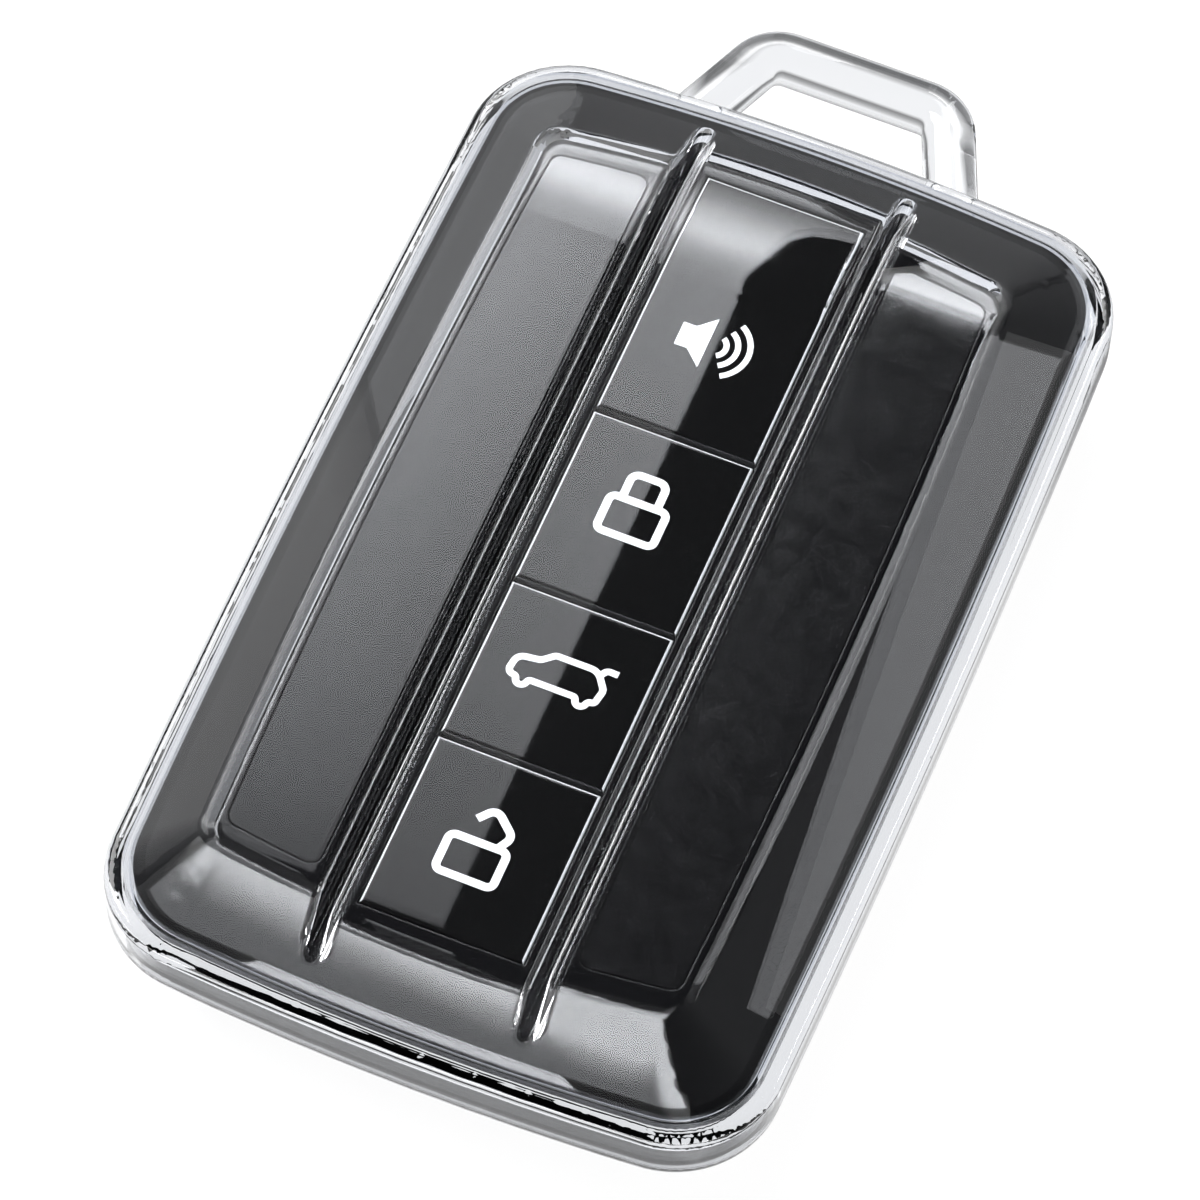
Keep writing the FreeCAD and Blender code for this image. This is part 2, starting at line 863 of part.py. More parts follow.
def release_spring():
    """Zigzag leaf spring between the slider's flange and its post."""
    near, far_end = spring_seat()
    near = near + inner_fit
    far_end = far_end - inner_fit
    floor = case_floor + inner_fit
    swing = spring_depth - spring_strip
    fold_count = 4
    step = (far_end - near - spring_strip) / fold_count
    folds = []
    for index in range(fold_count + 1):
        sway = swing if index % 2 else -swing
        folds.append(V(near + spring_strip / 2 + step * index, slider_y + sway, floor))
    line = Part.makePolygon(folds)
    face = Part.Face(line.makeOffset2D(spring_strip / 2))
    return face.extrude(V(0, 0, spring_width - inner_fit))


def pieces():
    """Every piece of the cover and the key by its node's name."""
    made = {
        "front_cover": front_cover(),
        "back_cover": back_cover(),
        "front_case": front_case(),
        "rear_case": rear_case(),
        "case_seal": seal_ring(parting - seal_depth, parting),
        "left_trim_panel": trim_panel(-1),
        "right_trim_panel": trim_panel(1),
        "keypad_membrane": keypad_membrane(),
        "circuit_board": circuit_board(),
        "tact_switches": tact_switches(),
        "control_chip": chip(control_chip_size, control_chip_size, chip_height, control_chip_y, inner_fit),
        "radio_chip": chip(radio_chip_size, radio_chip_size, chip_height, radio_chip_y, inner_fit),
        "crystal_can": chip(crystal_width, crystal_length, crystal_height, crystal_y, crystal_radius),
        "antenna_core": antenna_core(),
        "antenna_winding": antenna_winding(),
        "coin_cell": coin_cell(),
        "battery_bottom_contact": battery_bottom_contact(),
        "battery_top_contact": battery_top_contact(),
        "emergency_key_blade": emergency_key_blade(),
        "emergency_key_grip": emergency_key_grip(),
        "release_slider": release_slider(),
        "release_spring": release_spring(),
    }
    names = ("panic_button", "lock_button", "tailgate_button", "unlock_button")
    for name, span in zip(names, button_spans()):
        made[name] = button_cap(span)
    return made


os.makedirs("parts", exist_ok=True)
for node, shape in pieces().items():
    solids = len(shape.Solids)
    print(node, "valid", shape.isValid(), "solids", solids, "volume", round(shape.Volume, 2))
    if solids == 1:
        shape = shape.Solids[0]
    shape.exportStep("parts/" + node + ".step")
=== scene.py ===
# %% [markdown]
# # A clear cover on a remote key
# The construction comes from CAD as 26 closed meshes. This lesson gives them their looks: a clear
# polished cover, a piano black key under it, grained inlays, printed pictograms, and the studio
# that they stand in. The CAD meshes stay where they are, so a button still presses and the cover
# still lifts off.

# %% The fixed frame
import json
import math

import bmesh
import bpy
from mathutils import Matrix, Vector


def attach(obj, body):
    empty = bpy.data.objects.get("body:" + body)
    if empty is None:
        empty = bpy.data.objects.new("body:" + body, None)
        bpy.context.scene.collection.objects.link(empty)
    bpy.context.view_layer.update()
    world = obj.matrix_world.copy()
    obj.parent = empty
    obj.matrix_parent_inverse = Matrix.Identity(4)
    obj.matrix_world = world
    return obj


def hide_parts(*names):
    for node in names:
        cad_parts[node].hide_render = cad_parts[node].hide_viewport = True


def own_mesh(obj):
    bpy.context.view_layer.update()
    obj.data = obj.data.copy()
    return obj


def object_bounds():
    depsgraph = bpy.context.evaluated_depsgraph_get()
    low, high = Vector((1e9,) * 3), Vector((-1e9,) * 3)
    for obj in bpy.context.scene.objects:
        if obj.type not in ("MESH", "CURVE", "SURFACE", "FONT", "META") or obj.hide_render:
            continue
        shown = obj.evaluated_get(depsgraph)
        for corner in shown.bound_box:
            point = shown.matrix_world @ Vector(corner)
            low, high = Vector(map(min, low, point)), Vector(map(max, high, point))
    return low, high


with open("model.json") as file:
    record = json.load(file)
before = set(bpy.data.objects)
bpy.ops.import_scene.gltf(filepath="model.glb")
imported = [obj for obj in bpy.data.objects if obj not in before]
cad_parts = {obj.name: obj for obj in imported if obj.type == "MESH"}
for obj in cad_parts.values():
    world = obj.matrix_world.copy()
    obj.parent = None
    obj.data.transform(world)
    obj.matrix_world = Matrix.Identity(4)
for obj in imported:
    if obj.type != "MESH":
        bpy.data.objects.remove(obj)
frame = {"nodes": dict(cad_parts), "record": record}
nodes = frame["nodes"]
mm = 0.001
size_before = [list(corner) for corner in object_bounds()]
box_mm = [[round(value / mm, 1) for value in corner] for corner in size_before]
print("CAD nodes:", len(nodes), "box in mm:", box_mm)

# %% [markdown]
# ## A kit for materials
# Real plastic is never one flat value. Each finish below starts from the Principled shader and gets
# a little unevenness in its roughness and its relief. The patterns are made from object
# coordinates, in metres, so a scale of 4000 gives grains of about a quarter of a millimetre, and
# they stay fixed to a piece that moves.

# %% Helpers that the finishes share
def new_finish(name, color, roughness, metallic=0.0):
    material = bpy.data.materials.new(name)
    material.use_nodes = True
    shader = material.node_tree.nodes["Principled BSDF"]
    shader.inputs["Base Color"].default_value = (*color, 1)
    shader.inputs["Roughness"].default_value = roughness
    shader.inputs["Metallic"].default_value = metallic
    return material, material.node_tree, shader


def noise(tree, scale, detail=2.0, stretch=(1, 1, 1)):
    """Noise on object coordinates. A small stretch value draws the pattern out along that axis."""
    place = tree.nodes.new("ShaderNodeTexCoord")
    shape = tree.nodes.new("ShaderNodeMapping")
    shape.inputs["Scale"].default_value = stretch
    pattern = tree.nodes.new("ShaderNodeTexNoise")
    pattern.inputs["Scale"].default_value = scale
    pattern.inputs["Detail"].default_value = detail
    tree.links.new(place.outputs["Object"], shape.inputs["Vector"])
    tree.links.new(shape.outputs["Vector"], pattern.inputs["Vector"])
    return pattern.outputs["Fac"]


def object_axes(tree):
    """The X, Y and Z of a spot on its object, in metres."""
    place = tree.nodes.new("ShaderNodeTexCoord")
    split = tree.nodes.new("ShaderNodeSeparateXYZ")
    tree.links.new(place.outputs["Object"], split.inputs["Vector"])
    return split.outputs


def spread(tree, value, low, high, start=0.3, end=0.7):
    """Maps a pattern to a range of values."""
    node = tree.nodes.new("ShaderNodeMapRange")
    node.inputs["From Min"].default_value = start
    node.inputs["From Max"].default_value = end
    node.inputs["To Min"].default_value = low
    node.inputs["To Max"].default_value = high
    tree.links.new(value, node.inputs["Value"])
    return node.outputs["Result"]


def calc(tree, operation, *values):
    """One Math node. A value is a number or another node's output."""
    node = tree.nodes.new("ShaderNodeMath")
    node.operation = operation
    for socket, value in zip(node.inputs, values):
        if isinstance(value, (int, float)):
            socket.default_value = value
        else:
            tree.links.new(value, socket)
    return node.outputs["Value"]


def mix_shaders(tree, share, first, second):
    node = tree.nodes.new("ShaderNodeMixShader")
    for socket, value in zip(node.inputs, (share, first, second)):
        tree.links.new(value, socket)
    return node.outputs["Shader"]


def relief(tree, shader, height, depth, strength=1.0):
    """Fine bumps of the given depth, in metres."""
    node = tree.nodes.new("ShaderNodeBump")
    node.inputs["Distance"].default_value = depth
    node.inputs["Strength"].default_value = strength
    tree.links.new(height, node.inputs["Height"])
    tree.links.new(node.outputs["Normal"], shader.inputs["Normal"])
    return node


def soften_edges(tree, bump, radius):
    """Rounds the shading of sharp edges, so that they catch a thin line of light."""
    node = tree.nodes.new("ShaderNodeBevel")
    node.samples = 4
    node.inputs["Radius"].default_value = radius
    tree.links.new(node.outputs["Normal"], bump.inputs["Normal"])


# %% [markdown]
# ## Clear cover
# The cover is polished polycarbonate, moulded in two halves. A transmission of 1 with a refractive
# index makes the thick rim bend the floor's light into bands. The thin face gets a lower index and
# a weak mirror, because a strong one would veil the key under it. The tint is slight, and a faint
# haze of handling marks varies the roughness. Lamps don't shine through bent glass by themselves,
# so the plastic is a plain window to shadow rays. Light that has turned many times inside the rim
# would only make specks, so after a set number of turns it goes straight on, out to a white studio.

# %% Clear plastic
rim_turns = 3
face_turns = 12
cover_tint = (0.83, 0.84, 0.86)
window_tint = (0.9, 0.91, 0.93)


def clear_plastic(name, index, mirror, blur, turns):
    material, tree, shader = new_finish(name, cover_tint, 0.0)
    shader.inputs["Transmission Weight"].default_value = 1.0
    shader.inputs["IOR"].default_value = index
    haze = spread(tree, noise(tree, 90, 4), blur / 2, blur)
    tree.links.new(haze, shader.inputs["Roughness"])
    shader.inputs["Specular Tint"].default_value = (mirror, mirror, mirror, 1)
    path = tree.nodes.new("ShaderNodeLightPath").outputs
    window = tree.nodes.new("ShaderNodeBsdfTransparent")
    window.inputs["Color"].default_value = (*window_tint, 1)
    spent = calc(tree, "GREATER_THAN", path["Ray Depth"], turns)
    straight_on = calc(tree, "MAXIMUM", path["Is Shadow Ray"], spent)
    mixed = mix_shaders(tree, straight_on, shader.outputs["BSDF"], window.outputs["BSDF"])
    tree.links.new(mixed, tree.nodes["Material Output"].inputs["Surface"])
    return material


# %% [markdown]
# ## Piano black and grained black
# The key's face and buttons are polished black plastic. Its sharp edges catch light, which the
# Bevel node imitates without new geometry. The buttons' bevelled edges also get a painted highlight:
# their base colour is light grey where the surface leans up or sideways. The inlays beside the
# buttons have a moulded grain, so they blur the same light that the buttons mirror, and their upper
# end is polished. The back and the small moulded pieces are satin.

# %% Black plastics
face_black = 0.004
# Light grey base colour of the painted highlight on the buttons' edges.
painted_edge_highlight = 0.7
grain_end = 27.6 * mm


def gloss_black(name):
    material, tree, shader = new_finish(name, (0.004, 0.004, 0.0043), 0.03)
    shader.inputs["Specular IOR Level"].default_value = 0.9
    tree.links.new(spread(tree, noise(tree, 120, 4), 0.005, 0.02), shader.inputs["Roughness"])
    bump = relief(tree, shader, noise(tree, 900, 1), 0.001 * mm, 0.03)
    soften_edges(tree, bump, 0.2 * mm)
    return material


def button_black_painted_highlight():
    """Piano black with a painted highlight: a light base colour where the button's edge leans to the
    loop, left or right.
    """
    material = gloss_black("button_black_painted_highlight")
    tree = material.node_tree
    shader = tree.nodes["Principled BSDF"]
    surface = tree.nodes.new("ShaderNodeNewGeometry")
    split = tree.nodes.new("ShaderNodeSeparateXYZ")
    tree.links.new(surface.outputs["Normal"], split.inputs["Vector"])
    tilted = spread(tree, split.outputs["Z"], 1, 0, 0.9, 0.95)
    upper = spread(tree, split.outputs["Y"], 0, 1, -0.3, -0.2)
    tint = tree.nodes.new("ShaderNodeCombineColor")
    # Painted highlight: edges that lean up or sideways get a light grey base colour instead of piano
    # black.
    level = spread(tree, calc(tree, "MULTIPLY", tilted, upper), face_black, painted_edge_highlight, 0, 1)
    for channel in tint.inputs:
        tree.links.new(level, channel)
    tree.links.new(tint.outputs["Color"], shader.inputs["Base Color"])
    return material


def grained_black(name, color, low, high, grain, depth):
    material, tree, shader = new_finish(name, color, low)
    tree.links.new(spread(tree, noise(tree, grain / 8, 3), low, high), shader.inputs["Roughness"])
    relief(tree, shader, noise(tree, grain, 3), depth)
    shader.inputs["Specular IOR Level"].default_value = 0.3
    return material


def inlay():
    """Fine grain with a sheen. The upper end, past the grain, is polished."""
    material, tree, shader = new_finish("grained_black", (0.003, 0.003, 0.0032), 0.1)
    shader.inputs["IOR"].default_value = 1.6
    shader.inputs["Specular IOR Level"].default_value = 1.0
    grained = calc(tree, "LESS_THAN", object_axes(tree)["Y"], grain_end)
    rough = spread(tree, noise(tree, 700, 3), 0.1, 0.14)
    tree.links.new(calc(tree, "MULTIPLY", rough, grained), shader.inputs["Roughness"])
    relief(tree, shader, calc(tree, "MULTIPLY", noise(tree, 5000, 3), grained), 0.0008 * mm)
    return material


# %% [markdown]
# ## Rubber, board, metal and ferrite
# These pieces are inside the key. Each still gets its own finish, because the parts are also used
# singly. Brushed steel is noise drawn out along one axis. The board's solder mask shows faint
# copper tracks, made from a brick pattern. The winding's wires are fine waves in the relief.

# %% Finishes of the inner pieces
def brushed_metal(name, color, roughness, stretch):
    material, tree, shader = new_finish(name, color, roughness, 1.0)
    lines = noise(tree, 6000, 2, stretch)
    uneven = spread(tree, lines, roughness * 0.7, roughness * 1.4)
    tree.links.new(uneven, shader.inputs["Roughness"])
    relief(tree, shader, lines, 0.004 * mm, 0.4)
    return material


def board_laminate():
    material, tree, shader = new_finish("board_laminate", (0.03, 0.16, 0.07), 0.35)
    place = tree.nodes.new("ShaderNodeTexCoord")
    tracks = tree.nodes.new("ShaderNodeTexBrick")
    tracks.inputs["Scale"].default_value = 180
    tracks.inputs["Mortar Size"].default_value = 0.03
    tracks.inputs["Color1"].default_value = (0.025, 0.15, 0.06, 1)
    tracks.inputs["Color2"].default_value = (0.035, 0.19, 0.08, 1)
    tracks.inputs["Mortar"].default_value = (0.09, 0.27, 0.1, 1)
    tree.links.new(place.outputs["Object"], tracks.inputs["Vector"])
    tree.links.new(tracks.outputs["Color"], shader.inputs["Base Color"])
    relief(tree, shader, tracks.outputs["Fac"], 0.03 * mm, 0.5)
    return material


def copper_winding():
    material, tree, shader = new_finish("copper", (0.6, 0.27, 0.12), 0.3, 1.0)
    place = tree.nodes.new("ShaderNodeTexCoord")
    turns = tree.nodes.new("ShaderNodeTexWave")
    turns.bands_direction = "Z"
    turns.inputs["Scale"].default_value = 1600
    turns.inputs["Distortion"].default_value = 0.6
    tree.links.new(place.outputs["Object"], turns.inputs["Vector"])
    tree.links.new(spread(tree, turns.outputs["Fac"], 0.25, 0.45, 0, 1), shader.inputs["Roughness"])
    relief(tree, shader, turns.outputs["Fac"], 0.05 * mm)
    return material


clear_rim = clear_plastic("clear_plastic", index=1.5, mirror=1.0, blur=0.004, turns=rim_turns)
clear_face = clear_plastic("clear_face", index=1.3, mirror=0.4, blur=0.005, turns=face_turns)
finishes = {
    "clear_plastic": clear_rim,
    "gloss_black": gloss_black("gloss_black"),
    "grained_black": inlay(),
    "satin_black": grained_black("satin_black", (0.02, 0.02, 0.021), 0.34, 0.46, 3500, 0.01 * mm),
    "seal_rubber": grained_black("seal_rubber", (0.05, 0.05, 0.05), 0.7, 0.85, 2500, 0.02 * mm),
    "mat_rubber": grained_black("mat_rubber", (0.35, 0.36, 0.37), 0.6, 0.75, 2500, 0.02 * mm),
    "chip_black": grained_black("chip_black", (0.02, 0.02, 0.02), 0.55, 0.7, 7000, 0.006 * mm),
    "ferrite": grained_black("ferrite", (0.07, 0.07, 0.075), 0.5, 0.7, 4000, 0.02 * mm),
    "board_laminate": board_laminate(),
    "steel": brushed_metal("steel", (0.62, 0.62, 0.63), 0.3, (1, 0.04, 1)),
    "nickel": brushed_metal("nickel", (0.7, 0.69, 0.67), 0.18, (1, 1, 1)),
    "copper": copper_winding(),
}
for part in frame["record"]["subparts"]:
    mesh = nodes[part["node"]].data
    mesh.materials.clear()
    mesh.materials.append(finishes[part["material_slot"]])
nodes["front_cover"].data.materials[0] = clear_face
# The buttons get piano black with a painted highlight on their edges.
button_finish = button_black_painted_highlight()
for name in ("panic_button", "lock_button", "tailgate_button", "unlock_button"):
    nodes[name].data.materials[0] = button_finish

# %% [markdown]
# ## Spring behind the release
# The release on the key's back slides against a zigzag leaf spring. A rigid mesh would stay behind,
# and the slider would cut it. A copy stands for the spring and rides with the key. The CAD mesh is
# loose triangles, so the copy's doubles are merged first, and its leaves stay flat.

# %% A copy of the spring
def link_mesh(name, bm, material):
    """Makes an object at the origin from a finished bmesh."""
    mesh = bpy.data.meshes.new(name)
    bm.to_mesh(mesh)
    bm.free()
    mesh.materials.append(material)
    thing = bpy.data.objects.new(name, mesh)
    bpy.context.scene.collection.objects.link(thing)
    return thing


weld_gap = 0.001 * mm
bm = bmesh.new()
bm.from_mesh(nodes["release_spring"].data)
bmesh.ops.remove_doubles(bm, verts=bm.verts, dist=weld_gap)
for face in bm.faces:
    face.smooth = False
leaf_spring = link_mesh("leaf_spring", bm, finishes["steel"])
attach(leaf_spring, "key")
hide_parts("release_spring")
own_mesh(leaf_spring)

# %% [markdown]
# ## Printed pictograms
# Each button has a white pictogram printed on it: an alarm horn, a closed padlock, a car with its
# tailgate up, and an open padlock. All are made of strokes, so they are drawn with a pen: its nib is
# a single edge, which an extrusion drags forwards and a spin swings round a corner. That needs no
# list of vertices, and a rounded corner stays a true arc.

# %% A pen made of one edge
ink_layer = 0.00005
arc_step = 10


class Pen:
    """Draws a flat stroke, in millimetres and degrees. A later stroke lies a hair higher."""

    def __init__(self, bm, x, y, heading, width):
        self.bm = bm
        self.place = Vector((x, y, len(bm.verts) * ink_layer)) * mm
        self.heading = math.radians(heading)
        across = Vector((-math.sin(self.heading), math.cos(self.heading), 0)) * width * mm / 2
        ends = [bm.verts.new(self.place + across), bm.verts.new(self.place - across)]
        self.nib = bm.edges.new(ends)

    def ahead(self, length):
        return Vector((math.cos(self.heading), math.sin(self.heading), 0)) * length * mm

    def forward(self, length, widen=1.0):
        made = bmesh.ops.extrude_edge_only(self.bm, edges=[self.nib])["geom"]
        verts = [item for item in made if isinstance(item, bmesh.types.BMVert)]
        bmesh.ops.translate(self.bm, verts=verts, vec=self.ahead(length))
        self.place = self.place + self.ahead(length)
        here = Matrix.Translation(-self.place)
        bmesh.ops.scale(self.bm, verts=verts, vec=(widen, widen, 1), space=here)
        self.nib = next(item for item in made if isinstance(item, bmesh.types.BMEdge))
        return self

    def turn(self, degrees, radius):
        side = math.copysign(1, degrees)
        sweep = math.radians(degrees)
        sideways = Vector((-math.sin(self.heading), math.cos(self.heading), 0))
        to_centre = sideways * side * radius * mm
        centre = self.place + to_centre
        steps = max(2, math.ceil(abs(degrees) / arc_step))
        made = bmesh.ops.spin(
            self.bm, geom=[self.nib], cent=centre, axis=(0, 0, 1), angle=sweep, steps=steps
        )["geom_last"]
        self.nib = next(item for item in made if isinstance(item, bmesh.types.BMEdge))
        self.place = centre - Matrix.Rotation(sweep, 3, "Z") @ to_centre
        self.heading += sweep
        return self


# %% [markdown]
# The four pictograms are measured in millimetres. The padlock is used twice, with its shackle shut
# or swung up, so its body is one function.

# %% Four pictograms
stroke = 0.6
lock_width = 4.36
lock_height = 3.05
lock_corner = 0.5
shackle_width = 2.68
shackle_height = 2.2
shackle_corner = 0.65
column_x = -0.24


def padlock_body(bm, bottom):
    straight_x = lock_width - 2 * lock_corner
    straight_y = lock_height - 2 * lock_corner
    pen = Pen(bm, column_x, bottom, 0, stroke).forward(straight_x / 2)
    for straight in (straight_y, straight_x, straight_y):
        pen.turn(90, lock_corner).forward(straight)
    pen.turn(90, lock_corner).forward(straight_x / 2)


def closed_padlock(bm):
    bottom = 0.67
    padlock_body(bm, bottom)
    straight = shackle_height - shackle_corner
    left = column_x - shackle_width / 2
    pen = Pen(bm, left, bottom + lock_height, 90, stroke).forward(straight)
    pen.turn(-90, shackle_corner).forward(shackle_width - 2 * shackle_corner)
    pen.turn(-90, shackle_corner).forward(straight)


def open_padlock(bm):
    bottom = -29.05
    padlock_body(bm, bottom)
    swing = 62
    leg = 0.9
    bow = 1.3
    pen = Pen(bm, column_x + shackle_width / 2, bottom + lock_height, swing, stroke).forward(leg)
    pen.turn(76, shackle_corner).forward(bow)
    pen.turn(92, shackle_corner).forward(leg)


def alarm_horn(bm):
    axis_y = 18.2
    wave_stroke = 0.43
    half_angle = 60
    Pen(bm, -3.0, axis_y, 0, 2.0).forward(1.0).forward(1.3, widen=2.2)
    for radius in (0.9, 1.75, 2.65):
        start_x = column_x + radius * math.cos(math.radians(half_angle))
        start_y = axis_y - radius * math.sin(math.radians(half_angle))
        Pen(bm, start_x, start_y, 90 - half_angle, wave_stroke).turn(2 * half_angle, radius)


def car_with_tailgate(bm):
    line = 0.5
    pen = Pen(bm, -0.84, -10.13, 180, line).turn(41, 0.4).forward(0.85)
    pen.turn(-33, 0.45).forward(1.0).turn(75, 0.75).forward(0.5).turn(97, 0.45)
    for after_wheel in (3.16, 0.0):
        pen.turn(-80, 0.28).turn(160, 0.42).turn(-80, 0.28).forward(after_wheel)
    pen.turn(80, 0.3).forward(0.8).turn(45, 0.5).forward(0.83).turn(55, 1.1).forward(2.5)
    Pen(bm, 2.5, -10.4, 60, line).forward(0.35).turn(-62, 0.45).forward(0.6)


# %% [markdown]
# The strokes are still flat. Ink stands a few hundredths of a millimetre proud, so all faces are
# extruded up by that much, and the print rides on its button's body. The four buttons are level, so
# one gives the height.

# %% Print them on the buttons
ink_height = 0.03 * mm
ink_gap = 0.004 * mm
button_top = max(corner[2] for corner in nodes["lock_button"].bound_box)


def white_ink():
    material, tree, shader = new_finish("white_ink", (0.92, 0.92, 0.92), 0.45)
    tree.links.new(spread(tree, noise(tree, 3000, 3), 0.4, 0.55), shader.inputs["Roughness"])
    relief(tree, shader, noise(tree, 6000, 2), 0.003 * mm, 0.5)
    return material


def print_on(button, name, draw, ink):
    bm = bmesh.new()
    draw(bm)
    grown = bmesh.ops.extrude_face_region(bm, geom=bm.faces[:])["geom"]
    verts = [item for item in grown if isinstance(item, bmesh.types.BMVert)]
    bmesh.ops.translate(bm, verts=verts, vec=(0, 0, ink_height))
    bmesh.ops.recalc_face_normals(bm, faces=bm.faces)
    bmesh.ops.translate(bm, verts=bm.verts, vec=(0, 0, button_top + ink_gap))
    piece = link_mesh(name, bm, ink)
    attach(piece, button)
    print(name, "faces", len(piece.data.polygons), "on", button)


ink = white_ink()
print_on("panic_button", "panic_print", alarm_horn, ink)
print_on("lock_button", "lock_print", closed_padlock, ink)
print_on("tailgate_button", "tailgate_print", car_with_tailgate, ink)
print_on("unlock_button", "unlock_print", open_padlock, ink)

# %% [markdown]
# ## Floor
# The photograph's ground is white paper. The floor glows at strength 1 for the camera, and a share
# of plain white stays in the mix, so the object keeps a faint shadow. Clear plastic on white would
# vanish, though. So through the plastic the floor is white near the object, in a box round the body
# and in one round the loop without its opening, and white again past a dark ring. The bent light at
# the rim and the loop then picks up grey and dark lines. Past the ring it is white only for light
# that no gloss has mirrored, so a lifted cover looks clear and the black face stays dark. Light
# that the rim has let straight out sees white everywhere, and the outer walls mirror the white
# floor in front of the loop.

# %% White floor
floor_reach = 3
floor_gap = 0.1 * mm
box_blur = 2 * mm
ring_start = 14 * mm
ring_end = 24 * mm
ahead_blur = 20 * mm
glow_share = 0.9


def outside_box(tree, low, high):
    """How far a spot on the floor lies outside a box, in metres, and less than 0 inside it."""
    axes = object_axes(tree)
    far = -floor_reach
    for axis in range(2):
        middle = (low[axis] + high[axis]) / 2
        half = (high[axis] - low[axis]) / 2
        aside = calc(tree, "ABSOLUTE", calc(tree, "SUBTRACT", axes[axis], middle))
        far = calc(tree, "MAXIMUM", far, calc(tree, "SUBTRACT", aside, half))
    return far


def white_ground(body, loop, opening, ahead):
    material, tree, shader = new_finish("white_ground", (0.95, 0.95, 0.95), 0.9)
    bar = calc(tree, "MULTIPLY", outside_box(tree, *opening), -1)
    bar = calc(tree, "MAXIMUM", outside_box(tree, *loop), bar)
    near = spread(tree, calc(tree, "MINIMUM", outside_box(tree, *body), bar), 1, 0, 0, box_blur)
    far_off = spread(tree, outside_box(tree, *body), 0, 1, ring_start, ring_end)
    path = tree.nodes.new("ShaderNodeLightPath").outputs
    unmirrored = calc(tree, "SUBTRACT", 1, calc(tree, "MODULO", path["Ray Depth"], 2))
    far_off = calc(tree, "MULTIPLY", far_off, unmirrored)
    seen = calc(tree, "MAXIMUM", path["Is Camera Ray"], path["Is Glossy Ray"])
    seen = calc(tree, "MAXIMUM", seen, path["Is Transmission Ray"])
    glow = tree.nodes.new("ShaderNodeEmission")
    through = calc(tree, "MAXIMUM", near, far_off)
    through = calc(tree, "MULTIPLY", through, path["Is Transmission Ray"])
    let_out = calc(tree, "COMPARE", path["Ray Depth"], rim_turns + 1, 0.5)
    in_front = spread(tree, outside_box(tree, *ahead), 1, 0, 0, ahead_blur)
    first = calc(tree, "COMPARE", path["Ray Depth"], 1, 0.5)
    mirrored = calc(tree, "MULTIPLY", path["Is Glossy Ray"], first)
    mirrored = calc(tree, "MULTIPLY", mirrored, in_front)
    lit = calc(tree, "MAXIMUM", path["Is Camera Ray"], through)
    lit = calc(tree, "MAXIMUM", calc(tree, "MAXIMUM", lit, let_out), mirrored)
    tree.links.new(lit, glow.inputs["Strength"])
    share = calc(tree, "MULTIPLY", seen, glow_share)
    mixed = mix_shaders(tree, share, shader.outputs["BSDF"], glow.outputs["Emission"])
    tree.links.new(mixed, tree.nodes["Material Output"].inputs["Surface"])
    return material


floor_level = size_before[0][2] - floor_gap
body_box = ((-0.0295, -0.043), (0.0255, 0.0445))
loop_box = ((-0.0165, 0.03), (0.0125, 0.0575))
opening_box = ((-0.0095, 0.03), (0.0055, 0.0515))
ahead_box = ((-floor_reach, -floor_reach), (floor_reach, 0.02))
bm = bmesh.new()
bmesh.ops.create_grid(bm, x_segments=1, y_segments=1, size=floor_reach)
bmesh.ops.translate(bm, verts=bm.verts, vec=(0, 0, floor_level))
floor = link_mesh("floor", bm, white_ground(body_box, loop_box, opening_box, ahead_box))
print("floor at", round(floor_level / mm, 2), "mm")

# %% [markdown]
# ## Reflection cards
# A polished black face shows only what it mirrors. In the photograph the left half of the buttons
# is grey and the right half black, with one sharp line between them: the edge of a large lit card
# overhead, on the left. A slot beside that edge draws a thin dark line. A second arm of the card,
# at the back, lights the rolled-off upper end, and a rounded notch between the arms leaves its dark
# arc. A brighter card far to the left lights the left-hand edges. Each card's glow changes along
# one axis, which a colour ramp sets. The camera doesn't see the cards, and they light nothing matt.
# They must not show through the clear cover either. A ray that passes a wall meets two surfaces,
# and a mirrored one meets an odd number, so the cards glow only for odd ones.

# %% Cards that the gloss mirrors
def glow_along(name, axis, stops, bow=0.0, bow_middle=0.0, bow_limit=0.0):
    """Stops are (place in metres, strength). A bow lifts the pattern beside its middle."""
    material = bpy.data.materials.new(name)
    material.use_nodes = True
    tree = material.node_tree
    axes = object_axes(tree)
    aside = calc(tree, "SUBTRACT", axes["X"], bow_middle)
    bowed = calc(tree, "MULTIPLY", calc(tree, "MULTIPLY", aside, aside), bow)
    lift = calc(tree, "MINIMUM", bowed, bow_limit)
    along = calc(tree, "SUBTRACT", axes[axis], lift)
    start, end = stops[0][0], stops[-1][0]
    peak = max(strength for spot, strength in stops)
    ramp = tree.nodes.new("ShaderNodeValToRGB")
    tree.links.new(spread(tree, along, 0, 1, start, end), ramp.inputs["Fac"])
    elements = ramp.color_ramp.elements
    elements.remove(elements[1])
    for index, (spot, strength) in enumerate(stops):
        element = elements.new((spot - start) / (end - start)) if index else elements[0]
        element.color = (strength / peak, strength / peak, strength / peak, 1)
    glow = tree.nodes.new("ShaderNodeEmission")
    glow.inputs["Strength"].default_value = peak
    tree.links.new(ramp.outputs["Color"], glow.inputs["Color"])
    path = tree.nodes.new("ShaderNodeLightPath").outputs
    unseen = tree.nodes.new("ShaderNodeBsdfTransparent")
    mirrored = calc(tree, "MODULO", path["Ray Depth"], 2)
    shown = mix_shaders(tree, mirrored, unseen.outputs["BSDF"], glow.outputs["Emission"])
    tree.links.new(shown, tree.nodes["Material Output"].inputs["Surface"])
    return material


def card(name, corners, material):
    bm = bmesh.new()
    bm.faces.new([bm.verts.new(corner) for corner in corners])
    thing = link_mesh(name, bm, material)
    thing.visible_camera = False
    thing.visible_shadow = False
    thing.visible_diffuse = False
    print(name, "corners", len(thing.data.vertices))


def lying(left, right, front, back, level):
    """The corners of a flat oblong card."""
    return [(left, front, level), (right, front, level), (right, back, level), (left, back, level)]


